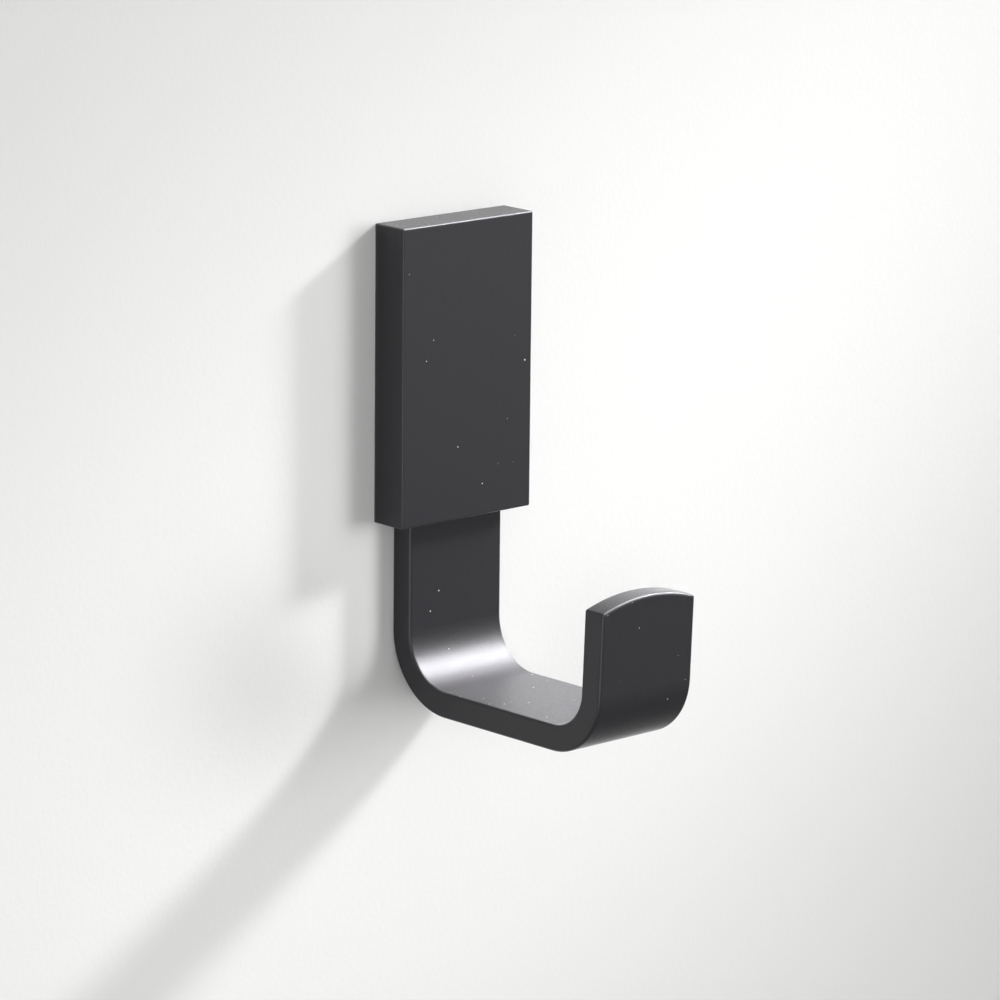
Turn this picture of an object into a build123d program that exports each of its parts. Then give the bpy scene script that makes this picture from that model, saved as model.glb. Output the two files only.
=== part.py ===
"""A wall-mounted robe hook: a bent flat bar, screwed to the wall under a slim rectangular cover.

Millimetres, +Z up, +X to the right of someone facing the hook. The wall is the plane Y = 0, the
hook stands out of it towards -Y, and the origin is midway between the two wall screws.
"""

from build123d import *
from math import radians, tan
import os

# Cover
cover_width = 28.2
cover_height = 50.0
cover_depth = 7.0
cover_front_wall = 1.5
cover_side_wall = 1.6
cover_edge_radius = 0.3  # crisp outer edges, just broken before the coating
cavity_corner_radius = 1.0
cavity_draft = 1.0  # degrees, so that the casting leaves its die
slot_clearance = 0.2  # round the bar, where it leaves the cover
rail_height = 2.0
rail_spacing = 16.0  # between the two rails that stand on the bar's front
rail_end_gap = 1.0  # from each end of a rail to the bar's edge
rib_height = 2.0
rib_spacing = 24.0  # between the two ribs that stand against the bar's left edge
rib_setback = 0.6  # ribs and boss stop short of the wall, which may be rough
boss_height = 7.0
boss_gap = 0.3  # between the boss and the bar's right edge

# Flat bar
bar_width = 20.2  # 20 mm flat bar and its coat
bar_thickness = 4.4
bar_edge_radius = 0.5
head_margin = 4.0  # from the cover's top down to the end of the bar
head_corner_radius = 2.5
run_drop = 27.1  # from the cover's bottom down to the top of the run, at the upright
run_rise = 0.7  # degrees, up from the upright to the arm
throat_width = 41.7  # from the upright to the arm, at the run
arm_height = 21.0  # from the top of the run, at the upright, to the corners of the tip
arm_lean = 2.3  # degrees, away from the wall
tip_crown = 1.75  # rise of the tip's middle above its corners
rear_bend_radius = 8.5  # inside of the bend
front_bend_radius = 7.0  # inside of the bend

# Wall screw holes, for 4 mm countersunk screws
screw_hole_radius = 2.25
screw_head_radius = 4.4
screw_head_angle = 90.0
screw_spacing = 30.0

# Set screw, M3 with a hexagon socket and a cone point
set_screw_radius = 1.5
set_screw_recess = 0.7  # below the cover's side
set_screw_from_wall = 2.6
point_flat_radius = 0.4
point_bite = 0.7  # depth of the cone point in the bar's edge
socket_across_flats = 1.5
socket_depth = 1.6
screw_end_chamfer = 0.25

# Levels and lines that the pieces share
cover_top = cover_height / 2
cover_bottom = -cover_height / 2
cavity_depth = cover_depth - cover_front_wall
cavity_width = cover_width - 2 * cover_side_wall
cavity_height = cover_height - 2 * cover_side_wall
bar_side = bar_width / 2
bar_front = -bar_thickness
head_top = cover_top - head_margin
run_top = cover_bottom - run_drop
arm_foot = bar_front - throat_width
arm_foot_level = run_top + throat_width * tan(radians(run_rise))
tip_corner = run_top + arm_height
tip_top = tip_corner + tip_crown
crown_radius = (bar_side**2 + tip_crown**2) / (2 * tip_crown)
slot_width = bar_width + 2 * slot_clearance
slot_depth = bar_thickness + slot_clearance
side_space = cover_width / 2 - bar_side - cover_side_wall / 2
point_end = bar_side - point_bite
point_radius = point_flat_radius + point_bite  # a 90 degree cone grows as fast as it is deep
socket_end = cover_width / 2 - set_screw_recess
set_screw_plane = Plane((0, -set_screw_from_wall, 0))
set_screw_axis = Axis((0, -set_screw_from_wall, 0), (1, 0, 0))


def room_plane(depth):
    """A plane facing the room, at a depth in front of the wall."""
    return Plane.XZ.offset(depth)


# Hook bar: one flat bar, bent twice, with a crowned tip
arm_end = tip_top + bar_thickness
arm_end_line = arm_foot - (arm_end - arm_foot_level) * tan(radians(arm_lean))
with BuildPart() as hook_bar:
    with BuildSketch(Plane.YZ):
        with BuildLine():
            FilletPolyline(
                (bar_front, head_top),
                (bar_front, run_top),
                (arm_foot, arm_foot_level),
                (arm_end_line, arm_end),
                radius=[rear_bend_radius, front_bend_radius],
            )
            offset(amount=bar_thickness, side=Side.LEFT)
        make_face()
    extrude(amount=bar_side, both=True)

    # The tip is cut to a shallow arc across the bar
    with BuildSketch(room_plane(bar_thickness + throat_width / 2)):
        with Locations((0, tip_top)):
            Rectangle(bar_width + 2, 2 * (tip_crown + bar_edge_radius))
            Rectangle(bar_width + 2, 2 * bar_thickness, align=(Align.CENTER, Align.MIN))
        with Locations((0, tip_top - crown_radius)):
            Circle(crown_radius, mode=Mode.SUBTRACT)
    extrude(amount=throat_width, mode=Mode.SUBTRACT)

    # Rounded corners on the end that the cover hides
    fillet(hook_bar.edges().filter_by(Axis.Y).group_by(Axis.Z)[-1], radius=head_corner_radius)

    # Softly rounded edges all along both sides and round the tip
    side_edges = hook_bar.edges().group_by(Axis.X)[0] + hook_bar.edges().group_by(Axis.X)[-1]
    tip_arcs = hook_bar.edges().filter_by_position(Axis.Z, tip_corner + tip_crown / 2, arm_end)
    fillet(side_edges + tip_arcs, radius=bar_edge_radius)

    # Countersunk holes for the wall screws
    with Locations(room_plane(bar_thickness)):
        with GridLocations(0, screw_spacing, 1, 2):
            CounterSinkHole(
                radius=screw_hole_radius,
                counter_sink_radius=screw_head_radius,
                counter_sink_angle=screw_head_angle,
                depth=bar_thickness,
            )

    # A drilled spot in the right edge takes the point of the set screw
    with BuildSketch(set_screw_plane):
        with BuildLine():
            Polyline(
                (bar_side, 0),
                (bar_side, point_radius),
                (bar_side - point_radius, 0),
                close=True,
            )
        make_face()
    revolve(axis=set_screw_axis, mode=Mode.SUBTRACT)

# Cover: a cast cap, open to the wall, that slips over the end of the bar
with BuildPart() as cover:
    with BuildSketch(room_plane(0)):
        Rectangle(cover_width, cover_height)
    extrude(amount=cover_depth)
    wall_rim = cover.faces().sort_by(Axis.Y)[-1]
    fillet(cover.edges() - wall_rim.edges(), radius=cover_edge_radius)

    with BuildSketch(room_plane(0)):
        RectangleRounded(cavity_width, cavity_height, cavity_corner_radius)
    extrude(amount=cavity_depth, taper=cavity_draft, mode=Mode.SUBTRACT)

    # The bar leaves through a slot in the bottom wall
    with BuildSketch(Plane.XY.offset(cover_bottom)):
        with Locations((0, slot_depth / 2)):
            RectangleRounded(slot_width, slot_depth * 3, bar_edge_radius + slot_clearance)
    extrude(amount=cover_side_wall + cavity_corner_radius, mode=Mode.SUBTRACT)

    # Rails stand on the bar's front, so that the rim meets the wall
    with BuildSketch(room_plane(bar_thickness)):
        with GridLocations(0, rail_spacing, 1, 2):
            Rectangle(bar_width - 2 * rail_end_gap, rail_height)
    extrude(amount=cavity_depth - bar_thickness + cover_front_wall / 2)

    # Ribs stand against the bar's left edge
    with BuildSketch(room_plane(rib_setback)):
        with Locations((-bar_side, 0)):
            with GridLocations(0, rib_spacing, 1, 2):
                Rectangle(side_space, rib_height, align=(Align.MAX, Align.CENTER))
    extrude(amount=cavity_depth - rib_setback + cover_front_wall / 2)

    # A boss on the right holds the set screw
    with BuildSketch(room_plane(rib_setback)):
        with Locations((bar_side + boss_gap, 0)):
            Rectangle(side_space - boss_gap, boss_height, align=(Align.MIN, Align.CENTER))
    extrude(amount=cavity_depth - rib_setback + cover_front_wall / 2)
    with BuildSketch(Plane.YZ.offset(bar_side)):
        with Locations((-set_screw_from_wall, 0)):
            Circle(set_screw_radius)
    extrude(amount=cover_width / 2 - bar_side, mode=Mode.SUBTRACT)

# Set screw: it bears in the spot on the bar's edge and holds the cover on
with BuildPart() as set_screw:
    with BuildSketch(set_screw_plane):
        with BuildLine():
            Polyline(
                (point_end, 0),
                (point_end, point_flat_radius),
                (point_end + set_screw_radius - point_flat_radius, set_screw_radius),
                (socket_end - screw_end_chamfer, set_screw_radius),
                (socket_end, set_screw_radius - screw_end_chamfer),
                (socket_end, 0),
                close=True,
            )
        make_face()
    revolve(axis=set_screw_axis)
    with BuildSketch(Plane.YZ.offset(socket_end)):
        with Locations((-set_screw_from_wall, 0)):
            RegularPolygon(socket_across_flats / 2, 6, major_radius=False)
    extrude(amount=-socket_depth, mode=Mode.SUBTRACT)

hook_bar.part.label = "hook_bar"
cover.part.label = "cover"
set_screw.part.label = "set_screw"

os.makedirs("parts", exist_ok=True)
export_step(hook_bar.part, "parts/hook_bar.step")
export_step(cover.part, "parts/cover.step")
export_step(set_screw.part, "parts/set_screw.step")
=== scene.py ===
"""A wall-mounted robe hook, finished in matt black powder coat and set on a pale wall.

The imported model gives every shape. This file gives the finishes, the wall and floor, the lights
and the camera. Lengths are in metres, +Z up, and the wall is the plane Y = 0.
"""

import math

import bmesh
import bpy
from bpy.props import FloatProperty, FloatVectorProperty, PointerProperty
from mathutils import Matrix, Vector

bl_info = {
    "name": "Robe Hook",
    "version": (1, 0, 0),
    "blender": (4, 5, 0),
    "location": "View3D > Sidebar > Robe Hook",
    "description": "Coats a wall-mounted robe hook and sets it on a pale wall in soft light",
    "category": "Object",
}

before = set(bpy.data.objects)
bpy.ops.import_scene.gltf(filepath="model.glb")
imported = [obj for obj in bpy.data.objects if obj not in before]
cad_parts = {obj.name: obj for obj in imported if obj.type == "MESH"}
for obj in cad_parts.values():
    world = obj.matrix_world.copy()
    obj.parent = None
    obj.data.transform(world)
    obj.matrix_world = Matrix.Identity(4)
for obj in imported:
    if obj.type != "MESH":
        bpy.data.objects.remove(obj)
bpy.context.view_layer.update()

MM = 0.001

# Nearly all of a noise texture lies between these two values
NOISE_LOW = 0.3
NOISE_HIGH = 0.7

# Refractive index of the coat's polyester
COAT_IOR = 1.5

# The wall stands this far behind the hook's back
WALL_GAP = 0.05 * MM

# A ray that meets the wall within this length comes from what lies against it
CONTACT_LENGTH = 0.5 * MM

# The middle of the hook, to which three of the lamps are turned
HOOK_MIDDLE = (0, -0.01, -0.015)

# Two of the lamps that the coat mirrors are a little cool
COOL_WHITE = (0.95, 0.94, 1.0)

# The dark card stands to the lower right, nearly square to the hook, and glows from dark to pale
# between two heights: a painted reflection of a dim room, which only the coat mirrors
CARD_SIZE = 0.9
CARD_PLACE = (0.40, -0.35, -0.31)
CARD_NORMAL = (0.66, -0.56, -0.50)
CARD_DARK_BELOW = -0.5
CARD_PALE_ABOVE = -0.19

# The camera's lens and sensor are in millimetres, and its angles in degrees
CAMERA_LENS = 180
CAMERA_SENSOR = 36
CAMERA_PLACE = (-0.53267, -0.61123, 0.1673)
CAMERA_HEADING = -41.79  # from straight at the wall, and below 0 to the right
CAMERA_DIP = 13.22  # below level
CAMERA_ROLL = 0.58


def linear(hex_colour):
    """Linear red, green and blue of an sRGB colour such as "#2a2a2c"."""
    parts = [int(hex_colour[i : i + 2], 16) / 255 for i in (1, 3, 5)]
    return [p / 12.92 if p <= 0.04045 else ((p + 0.055) / 1.055) ** 2.4 for p in parts]


class HookFinish(bpy.types.PropertyGroup):
    """Colours and grain of the coat and of the set screw."""

    coat_colour: FloatVectorProperty(
        name="Coat colour",
        description="Colour of the powder coat",
        subtype="COLOR",
        default=linear("#18161c"),
        min=0,
        max=1,
    )
    coat_roughness: FloatProperty(
        name="Coat roughness",
        description="How much the coat spreads its reflections",
        subtype="FACTOR",
        default=0.45,
        min=0,
        max=1,
    )
    sheen_weight: FloatProperty(
        name="Sheen weight",
        description="How pale the coat looks along its surface",
        subtype="FACTOR",
        default=0.25,
        min=0,
        max=1,
    )
    sheen_roughness: FloatProperty(
        name="Sheen roughness",
        description="How far the paleness reaches from the edges",
        subtype="FACTOR",
        default=0.3,
        min=0,
        max=1,
    )
    grain_size: FloatProperty(
        name="Grain size",
        description="Width of the small bumps in the coat",
        unit="LENGTH",
        default=0.5 * MM,
    )
    grain_height: FloatProperty(
        name="Grain height",
        description="Height of the small bumps in the coat",
        unit="LENGTH",
        default=0.014 * MM,
    )
    mottle: FloatProperty(
        name="Mottle",
        description="How much the roughness differs from grain to grain",
        subtype="FACTOR",
        default=0.04,
        min=0,
        max=1,
    )
    speck_spacing: FloatProperty(
        name="Speck spacing",
        description="Width of the cells that hold one dust speck at most",
        unit="LENGTH",
        default=1.8 * MM,
    )
    speck_radius: FloatProperty(
        name="Speck radius",
        description="Radius of the largest dust specks",
        unit="LENGTH",
        default=0.15 * MM,
    )
    bare_share: FloatProperty(
        name="Bare share",
        description="Share of the cells of an upright face that hold no dust",
        subtype="FACTOR",
        default=0.58,
        min=0,
        max=1,
    )
    settling: FloatProperty(
        name="Settling",
        description="How much more dust lies on faces that look up",
        subtype="FACTOR",
        default=0.35,
        min=0,
        max=1,
    )
    speck_colour: FloatVectorProperty(
        name="Speck colour",
        description="Colour of the dust",
        subtype="COLOR",
        default=linear("#d8d8d6"),
        min=0,
        max=1,
    )
    oxide_colour: FloatVectorProperty(
        name="Black oxide colour",
        description="Colour of the set screw",
        subtype="COLOR",
        default=linear("#3a3a3e"),
        min=0,
        max=1,
    )
    oiled_roughness: FloatProperty(
        name="Oiled roughness",
        description="Roughness of the black oxide where it is oily",
        subtype="FACTOR",
        default=0.32,
        min=0,
        max=1,
    )
    dried_roughness: FloatProperty(
        name="Dried roughness",
        description="Roughness of the black oxide where its oil has dried",
        subtype="FACTOR",
        default=0.55,
        min=0,
        max=1,
    )
    patch_size: FloatProperty(
        name="Oxide patch size",
        description="Width of the patches in the black oxide",
        unit="LENGTH",
        default=0.4 * MM,
    )
    patch_height: FloatProperty(
        name="Oxide patch height",
        description="Height of the patches in the black oxide",
        unit="LENGTH",
        default=0.01 * MM,
    )


class HookStage(bpy.types.PropertyGroup):
    """The wall and floor behind and below the hook, and the lights."""

    wall_colour: FloatVectorProperty(
        name="Wall colour",
        description="Colour of the wall and the floor",
        subtype="COLOR",
        default=linear("#ebebea"),
        min=0,
        max=1,
    )
    wall_size: FloatProperty(
        name="Wall size",
        description="Width and height of the wall, and depth of the floor",
        unit="LENGTH",
        default=3.0,
    )
    floor_drop: FloatProperty(
        name="Floor drop",
        description="How far the floor lies below the middle of the cover",
        unit="LENGTH",
        default=0.5,
    )
    stipple_size: FloatProperty(
        name="Stipple size",
        description="Width of the small bumps that the roller leaves in the wall paint",
        unit="LENGTH",
        default=0.9 * MM,
    )
    stipple_height: FloatProperty(
        name="Stipple height",
        description="Height of the small bumps that the roller leaves in the wall paint",
        unit="LENGTH",
        default=0.03 * MM,
    )
    key_power: FloatProperty(
        name="Key power",
        description="Power of the soft light at the upper right, in watts",
        default=0.11,
    )
    side_power: FloatProperty(
        name="Side power",
        description="Power of the light at the right, in watts",
        default=0.33,
    )
    fill_power: FloatProperty(
        name="Fill power",
        description="Power of the light at the left, in watts",
        default=0.048,
    )
    sheen_power: FloatProperty(
        name="Sheen power",
        description="Power of the light that the coat mirrors at the upper right, in watts",
        default=12.6,
    )
    line_power: FloatProperty(
        name="Line power",
        description="Power of the light that the left front edges mirror, in watts",
        default=1.2,
    )
    glow_power: FloatProperty(
        name="Glow power",
        description="Power of the bright patch of wall that the coat mirrors, in watts",
        default=0.042,
    )
    card_dark_level: FloatProperty(
        name="Card dark level",
        description="Brightness of the lower part of the card at the lower right, where 1 is white",
        default=0.1,
    )
    card_pale_level: FloatProperty(
        name="Card pale level",
        description="Brightness of the upper part of the card at the lower right, where 1 is white",
        default=0.44,
    )
    sky_level: FloatProperty(
        name="Sky level",
        description="Strength of the even light from all round",
        default=0.41,
    )


def add_node(tree, kind, settings=None, links=None):
    """Adds a node of a kind.

    Settings name its properties or inputs, and links name the inputs that other nodes' outputs
    feed. An input may be named by its number.
    """
    node = tree.nodes.new(kind)
    for name, value in (settings or {}).items():
        if isinstance(name, str) and hasattr(node, name):
            setattr(node, name, value)
        else:
            node.inputs[name].default_value = value
    for name, socket in (links or {}).items():
        tree.links.new(socket, node.inputs[name])
    return node


def new_material(name):
    """An empty node material, its tree and its output node."""
    material = bpy.data.materials.new(name)
    material.use_nodes = True
    tree = material.node_tree
    tree.nodes.clear()
    return material, tree, add_node(tree, "ShaderNodeOutputMaterial")


def dusted_colour(tree, coordinates, finish):
    """The coat's colour with a few white dust specks, one at most in each cell of a pattern."""
    specks = add_node(
        tree,
        "ShaderNodeTexVoronoi",
        {"Scale": 1 / finish.speck_spacing, "Randomness": 1.0},
        {"Vector": coordinates.outputs["Object"]},
    )
    # A speck's size differs from cell to cell, and dust settles on faces that look up
    cell = add_node(
        tree,
        "ShaderNodeSeparateColor",
        links={"Color": specks.outputs["Color"]},
    )
    facing = add_node(
        tree,
        "ShaderNodeSeparateXYZ",
        links={"Vector": coordinates.outputs["Normal"]},
    )
    settled = add_node(
        tree,
        "ShaderNodeMath",
        {"operation": "MULTIPLY_ADD", 1: finish.settling},
        {0: facing.outputs["Z"], 2: cell.outputs["Red"]},
    )
    speck_edge = add_node(
        tree,
        "ShaderNodeMapRange",
        {
            "From Min": finish.bare_share,
            "From Max": 1.0,
            "To Min": 0.0,
            "To Max": finish.speck_radius / finish.speck_spacing,
        },
        {"Value": settled.outputs["Value"]},
    )
    on_speck = add_node(
        tree,
        "ShaderNodeMath",
        {"operation": "LESS_THAN"},
        {0: specks.outputs["Distance"], 1: speck_edge.outputs["Result"]},
    )
    # Inputs 6 and 7 are the two colours, and output 2 is the mixed one
    colour = add_node(
        tree,
        "ShaderNodeMix",
        {"data_type": "RGBA", 6: (*finish.coat_colour, 1), 7: (*finish.speck_colour, 1)},
        {"Factor": on_speck.outputs["Value"]},
    )
    return colour.outputs[2]


def matt_powder_coat(finish):
    """Matt black powder coat: polyester powder baked on metal.

    Its melted grains leave a fine, even texture that spreads reflections wide, so that faces seen
    square on are near black and faces seen along their surface go pale. A few dust specks lie
    on it.
    """
    material, tree, output = new_material("matt_black_powder_coat")
    coordinates = add_node(tree, "ShaderNodeTexCoord")
    # The real grains are 0.1 to 0.2 mm wide, and are drawn coarser so that they show
    grain = add_node(
        tree,
        "ShaderNodeTexNoise",
        {"Scale": 1 / finish.grain_size, "Detail": 2.0, "Roughness": 0.5},
        {"Vector": coordinates.outputs["Object"]},
    )
    relief = add_node(
        tree,
        "ShaderNodeBump",
        {"Strength": 1.0, "Distance": finish.grain_height},
        {"Height": grain.outputs["Fac"]},
    )
    # A grain shines a little more or less than its neighbours, which only bright reflections show
    mottle = add_node(
        tree,
        "ShaderNodeMapRange",
        {
            "From Min": NOISE_LOW,
            "From Max": NOISE_HIGH,
            "To Min": finish.coat_roughness - finish.mottle,
            "To Max": finish.coat_roughness + finish.mottle,
        },
        {"Value": grain.outputs["Fac"]},
    )
    surface = add_node(
        tree,
        "ShaderNodeBsdfPrincipled",
        {
            "IOR": COAT_IOR,
            "Sheen Weight": finish.sheen_weight,
            "Sheen Roughness": finish.sheen_roughness,
        },
        {
            "Base Color": dusted_colour(tree, coordinates, finish),
            "Roughness": mottle.outputs["Result"],
            "Normal": relief.outputs["Normal"],
        },
    )
    tree.links.new(surface.outputs["BSDF"], output.inputs["Surface"])
    return material


def black_oxide_steel(finish):
    """Black oxide steel: a thin black layer grown on turned steel.

    It is dark and oily but still metallic, and patchy where the oil has dried.
    """
    material, tree, output = new_material("black_oxide_steel")
    coordinates = add_node(tree, "ShaderNodeTexCoord")
    patches = add_node(
        tree,
        "ShaderNodeTexNoise",
        {"Scale": 1 / finish.patch_size, "Detail": 4.0, "Roughness": 0.6},
        {"Vector": coordinates.outputs["Object"]},
    )
    drying = add_node(
        tree,
        "ShaderNodeMapRange",
        {
            "From Min": NOISE_LOW,
            "From Max": NOISE_HIGH,
            "To Min": finish.oiled_roughness,
            "To Max": finish.dried_roughness,
        },
        {"Value": patches.outputs["Fac"]},
    )
    relief = add_node(
        tree,
        "ShaderNodeBump",
        {"Strength": 1.0, "Distance": finish.patch_height},
        {"Height": patches.outputs["Fac"]},
    )
    surface = add_node(
        tree,
        "ShaderNodeBsdfPrincipled",
        {"Base Color": (*finish.oxide_colour, 1), "Metallic": 1.0},
        {"Roughness": drying.outputs["Result"], "Normal": relief.outputs["Normal"]},
    )
    tree.links.new(surface.outputs["BSDF"], output.inputs["Surface"])
    return material


def wall_paint(stage):
    """Matt white wall paint, rolled on plaster, whose stipple barely shows.

    From behind it isn't seen, so the hook's back shows.
    """
    material, tree, output = new_material("matt_white_wall_paint")
    coordinates = add_node(tree, "ShaderNodeTexCoord")
    stipple = add_node(
        tree,
        "ShaderNodeTexNoise",
        {"Scale": 1 / stage.stipple_size, "Detail": 3.0, "Roughness": 0.6},
        {"Vector": coordinates.outputs["Object"]},
    )
    relief = add_node(
        tree,
        "ShaderNodeBump",
        {"Strength": 1.0, "Distance": stage.stipple_height},
        {"Height": stipple.outputs["Fac"]},
    )
    paint = add_node(
        tree,
        "ShaderNodeBsdfDiffuse",
        {"Color": (*stage.wall_colour, 1)},
        {"Normal": relief.outputs["Normal"]},
    )
    clear = add_node(tree, "ShaderNodeBsdfTransparent")
    side = add_node(tree, "ShaderNodeNewGeometry")
    ray = add_node(tree, "ShaderNodeLightPath")
    # What lies against the wall mirrors the room behind it, or the hook's back would be black
    in_contact = add_node(
        tree,
        "ShaderNodeMath",
        {"operation": "LESS_THAN", 1: CONTACT_LENGTH},
        {0: ray.outputs["Ray Length"]},
    )
    unseen = add_node(
        tree,
        "ShaderNodeMath",
        {"operation": "MAXIMUM"},
        {0: side.outputs["Backfacing"], 1: in_contact.outputs["Value"]},
    )
    one_sided = add_node(
        tree,
        "ShaderNodeMixShader",
        links={"Fac": unseen.outputs["Value"], 1: paint.outputs["BSDF"], 2: clear.outputs["BSDF"]},
    )
    tree.links.new(one_sided.outputs["Shader"], output.inputs["Surface"])
    return material


def painted_reflection_card(stage):
    """Glowing card: a painted reflection of a dim room, without shading, that pales from its lower
    part to its upper one.
    """
    material, tree, output = new_material("painted_reflection_card")
    coordinates = add_node(tree, "ShaderNodeTexCoord")
    place = add_node(
        tree,
        "ShaderNodeSeparateXYZ",
        links={"Vector": coordinates.outputs["Object"]},
    )
    level = add_node(
        tree,
        "ShaderNodeMapRange",
        {
            "From Min": CARD_DARK_BELOW,
            "From Max": CARD_PALE_ABOVE,
            "To Min": stage.card_dark_level,
            "To Max": stage.card_pale_level,
        },
        {"Value": place.outputs["Z"]},
    )
    # The card glows at these levels and no lamp lights it: a painted reflection of the dim room
    board = add_node(tree, "ShaderNodeEmission", links={"Color": level.outputs["Result"]})
    tree.links.new(board.outputs["Emission"], output.inputs["Surface"])
    return material


def add_plane(name, size, turn, place, material):
    """A square stage plane that faces +Z before it is turned and placed."""
    mesh = bpy.data.meshes.new(name)
    grid = bmesh.new()
    bmesh.ops.create_grid(grid, x_segments=1, y_segments=1, size=size / 2)
    bmesh.ops.rotate(grid, verts=grid.verts, matrix=turn)
    bmesh.ops.translate(grid, verts=grid.verts, vec=place)
    grid.to_mesh(mesh)
    grid.free()
    mesh.materials.append(material)
    plane = bpy.data.objects.new(name, mesh)
    bpy.context.scene.collection.objects.link(plane)
    return plane


def add_lamp(name, place, target, width, height, power, spread=180):
    """A rectangular area lamp turned to a target, not seen by the camera. Spread is in degrees."""
    data = bpy.data.lights.new(name, "AREA")
    data.shape = "RECTANGLE"
    data.size = width
    data.size_y = height
    data.energy = power
    data.spread = math.radians(spread)
    lamp = bpy.data.objects.new(name, data)
    lamp.location = place
    lamp.rotation_euler = (Vector(target) - Vector(place)).to_track_quat("-Z", "Y").to_euler()
    lamp.visible_camera = False
    bpy.context.scene.collection.objects.link(lamp)
    return lamp


def build_backdrop(stage):
    """The wall behind the hook and the floor below it."""
    paint = wall_paint(stage)
    upright = Matrix.Rotation(math.radians(90), 3, "X")
    level = Matrix.Identity(3)
    wall = add_plane("wall", stage.wall_size, upright, (0, WALL_GAP, 0), paint)
    floor = add_plane("floor", stage.wall_size, level, (0, 0, -stage.floor_drop), paint)
    for plane in (wall, floor):
        plane.visible_shadow = False
        plane.visible_diffuse = False


def build_lamps(stage):
    """The lamps that light the wall and the hook, and those that only the coat mirrors."""
    # Casts the long shadow to the lower left
    add_lamp(
        "key_lamp",
        place=(0.82, -0.31, 0.475),
        target=(0.035, 0, -0.02),
        width=0.13,
        height=0.13,
        power=stage.key_power,
        spread=16,
    )
    # Casts the short, soft shadow close to the hook
    side_lamp = add_lamp(
        "side_lamp",
        place=(0.49, -0.58, 0.04),
        target=HOOK_MIDDLE,
        width=0.35,
        height=0.6,
        power=stage.side_power,
        spread=40,
    )
    # Lightens the wall on the left
    fill_lamp = add_lamp(
        "fill_lamp",
        place=(-0.5, -0.6, 0.15),
        target=(-0.04, 0, -0.02),
        width=0.3,
        height=0.3,
        power=stage.fill_power,
        spread=25,
    )
    # Gives the rear bend its highlight
    sheen_lamp = add_lamp(
        "sheen_lamp",
        place=(0.33, -0.10, 0.37),
        target=HOOK_MIDDLE,
        width=0.35,
        height=0.35,
        power=stage.sheen_power,
    )
    # Draws thin light lines along the left front edges
    line_lamp = add_lamp(
        "line_lamp",
        place=(-0.455, -0.42, -0.16),
        target=HOOK_MIDDLE,
        width=0.25,
        height=0.25,
        power=stage.line_power,
    )
    # Lies on the wall at the right, faces the room and pales the tops of the run and the tip
    glow_lamp = add_lamp(
        "glow_lamp",
        place=(0.052, -0.001, -0.047),
        target=(0.052, -1, -0.047),
        width=0.08,
        height=0.106,
        power=stage.glow_power,
    )
    for lamp in (side_lamp, fill_lamp):
        lamp.visible_glossy = False
    for lamp in (sheen_lamp, line_lamp, glow_lamp):
        lamp.visible_diffuse = False
    for lamp in (sheen_lamp, glow_lamp):
        lamp.data.color = COOL_WHITE


def build_card(stage):
    """The glowing card at the lower right, a painted reflection which only the coat mirrors."""
    turn = Vector(CARD_NORMAL).to_track_quat("Z", "Y").to_matrix()
    card = add_plane("dark_card", CARD_SIZE, turn, CARD_PLACE, painted_reflection_card(stage))
    card.visible_camera = False
    card.visible_diffuse = False
    card.visible_shadow = False


def build_sky(stage):
    """Even light from all round, which the camera, the coat and clear things see as white."""
    world = bpy.data.worlds.new("even_sky")
    bpy.context.scene.world = world
    world.use_nodes = True
    tree = world.node_tree
    tree.nodes.clear()
    output = add_node(tree, "ShaderNodeOutputWorld")
    ray = add_node(tree, "ShaderNodeLightPath")
    seen = ray.outputs["Is Camera Ray"]
    for kind in ("Is Glossy Ray", "Is Transmission Ray"):
        either = add_node(
            tree,
            "ShaderNodeMath",
            {"operation": "MAXIMUM"},
            {0: seen, 1: ray.outputs[kind]},
        )
        seen = either.outputs["Value"]
    level = add_node(
        tree,
        "ShaderNodeMapRange",
        {"To Min": stage.sky_level, "To Max": 1.0},
        {"Value": seen},
    )
    sky = add_node(
        tree,
        "ShaderNodeBackground",
        {"Color": (1, 1, 1, 1)},
        {"Strength": level.outputs["Result"]},
    )
    tree.links.new(sky.outputs["Background"], output.inputs["Surface"])


def assign_finish(node, material):
    """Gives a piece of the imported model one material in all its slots."""
    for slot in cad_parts[node].material_slots:
        slot.material = material


class ROBEHOOK_OT_coat_pieces(bpy.types.Operator):
    """Gives the cover and the hook bar their powder coat"""

    bl_idname = "robehook.coat_pieces"
    bl_label = "Coat Cover and Bar"

    def execute(self, context):
        coat = matt_powder_coat(context.scene.hook_finish)
        assign_finish("cover", coat)
        assign_finish("hook_bar", coat)
        return {"FINISHED"}


class ROBEHOOK_OT_finish_set_screw(bpy.types.Operator):
    """Gives the set screw its black oxide"""

    bl_idname = "robehook.finish_set_screw"
    bl_label = "Finish Set Screw"

    def execute(self, context):
        assign_finish("set_screw", black_oxide_steel(context.scene.hook_finish))
        return {"FINISHED"}


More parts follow.
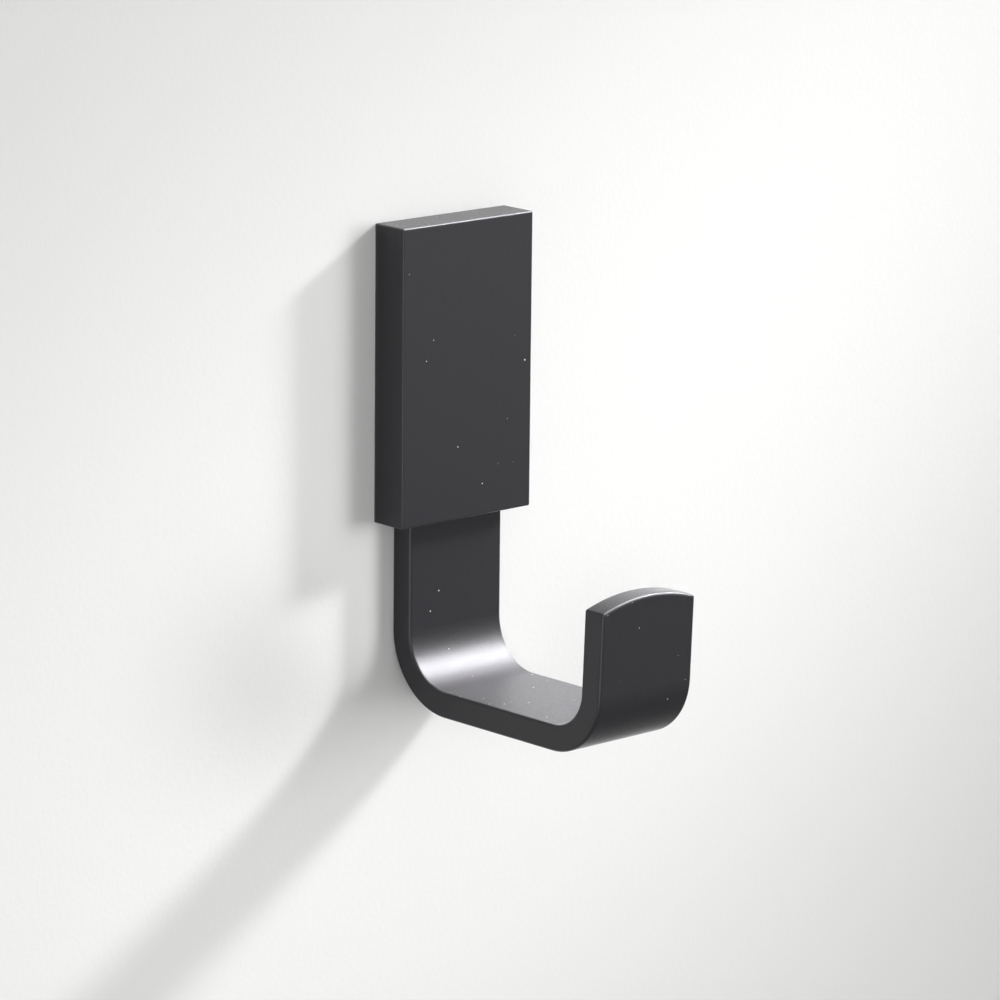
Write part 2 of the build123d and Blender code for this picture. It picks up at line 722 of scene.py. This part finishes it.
class ROBEHOOK_OT_build_stage(bpy.types.Operator):
    """Puts up the wall, the floor, the lamps, the card and the sky"""

    bl_idname = "robehook.build_stage"
    bl_label = "Build Stage"

    def execute(self, context):
        stage = context.scene.hook_stage
        build_backdrop(stage)
        build_lamps(stage)
        build_card(stage)
        build_sky(stage)
        return {"FINISHED"}


class ROBEHOOK_OT_place_camera(bpy.types.Operator):
    """Places the camera up and to the left, looking a little down at the hook"""

    bl_idname = "robehook.place_camera"
    bl_label = "Place Camera"

    def execute(self, context):
        data = bpy.data.cameras.new("view")
        data.lens = CAMERA_LENS
        data.sensor_width = CAMERA_SENSOR
        camera = bpy.data.objects.new("view", data)
        context.scene.collection.objects.link(camera)
        turn = (
            Matrix.Rotation(math.radians(CAMERA_HEADING), 4, "Z")
            @ Matrix.Rotation(math.radians(90 - CAMERA_DIP), 4, "X")
            @ Matrix.Rotation(math.radians(CAMERA_ROLL), 4, "Z")
        )
        camera.matrix_world = Matrix.Translation(CAMERA_PLACE) @ turn
        context.scene.camera = camera
        return {"FINISHED"}


class ROBEHOOK_PT_tools(bpy.types.Panel):
    """Lists the steps in their order"""

    bl_label = "Robe Hook"
    bl_idname = "ROBEHOOK_PT_tools"
    bl_space_type = "VIEW_3D"
    bl_region_type = "UI"
    bl_category = "Robe Hook"

    def draw(self, context):
        for operator in OPERATORS:
            self.layout.operator(operator.bl_idname)


OPERATORS = (
    ROBEHOOK_OT_coat_pieces,
    ROBEHOOK_OT_finish_set_screw,
    ROBEHOOK_OT_build_stage,
    ROBEHOOK_OT_place_camera,
)
CLASSES = (HookFinish, HookStage, *OPERATORS, ROBEHOOK_PT_tools)


def register():
    for cls in CLASSES:
        bpy.utils.register_class(cls)
    bpy.types.Scene.hook_finish = PointerProperty(type=HookFinish)
    bpy.types.Scene.hook_stage = PointerProperty(type=HookStage)


def unregister():
    del bpy.types.Scene.hook_stage
    del bpy.types.Scene.hook_finish
    for cls in reversed(CLASSES):
        bpy.utils.unregister_class(cls)


def main():
    register()
    bpy.ops.robehook.coat_pieces()
    bpy.ops.robehook.finish_set_screw()
    bpy.ops.robehook.build_stage()
    bpy.ops.robehook.place_camera()
    bpy.context.scene.view_settings.view_transform = "Standard"


if __name__ == "__main__":
    main()
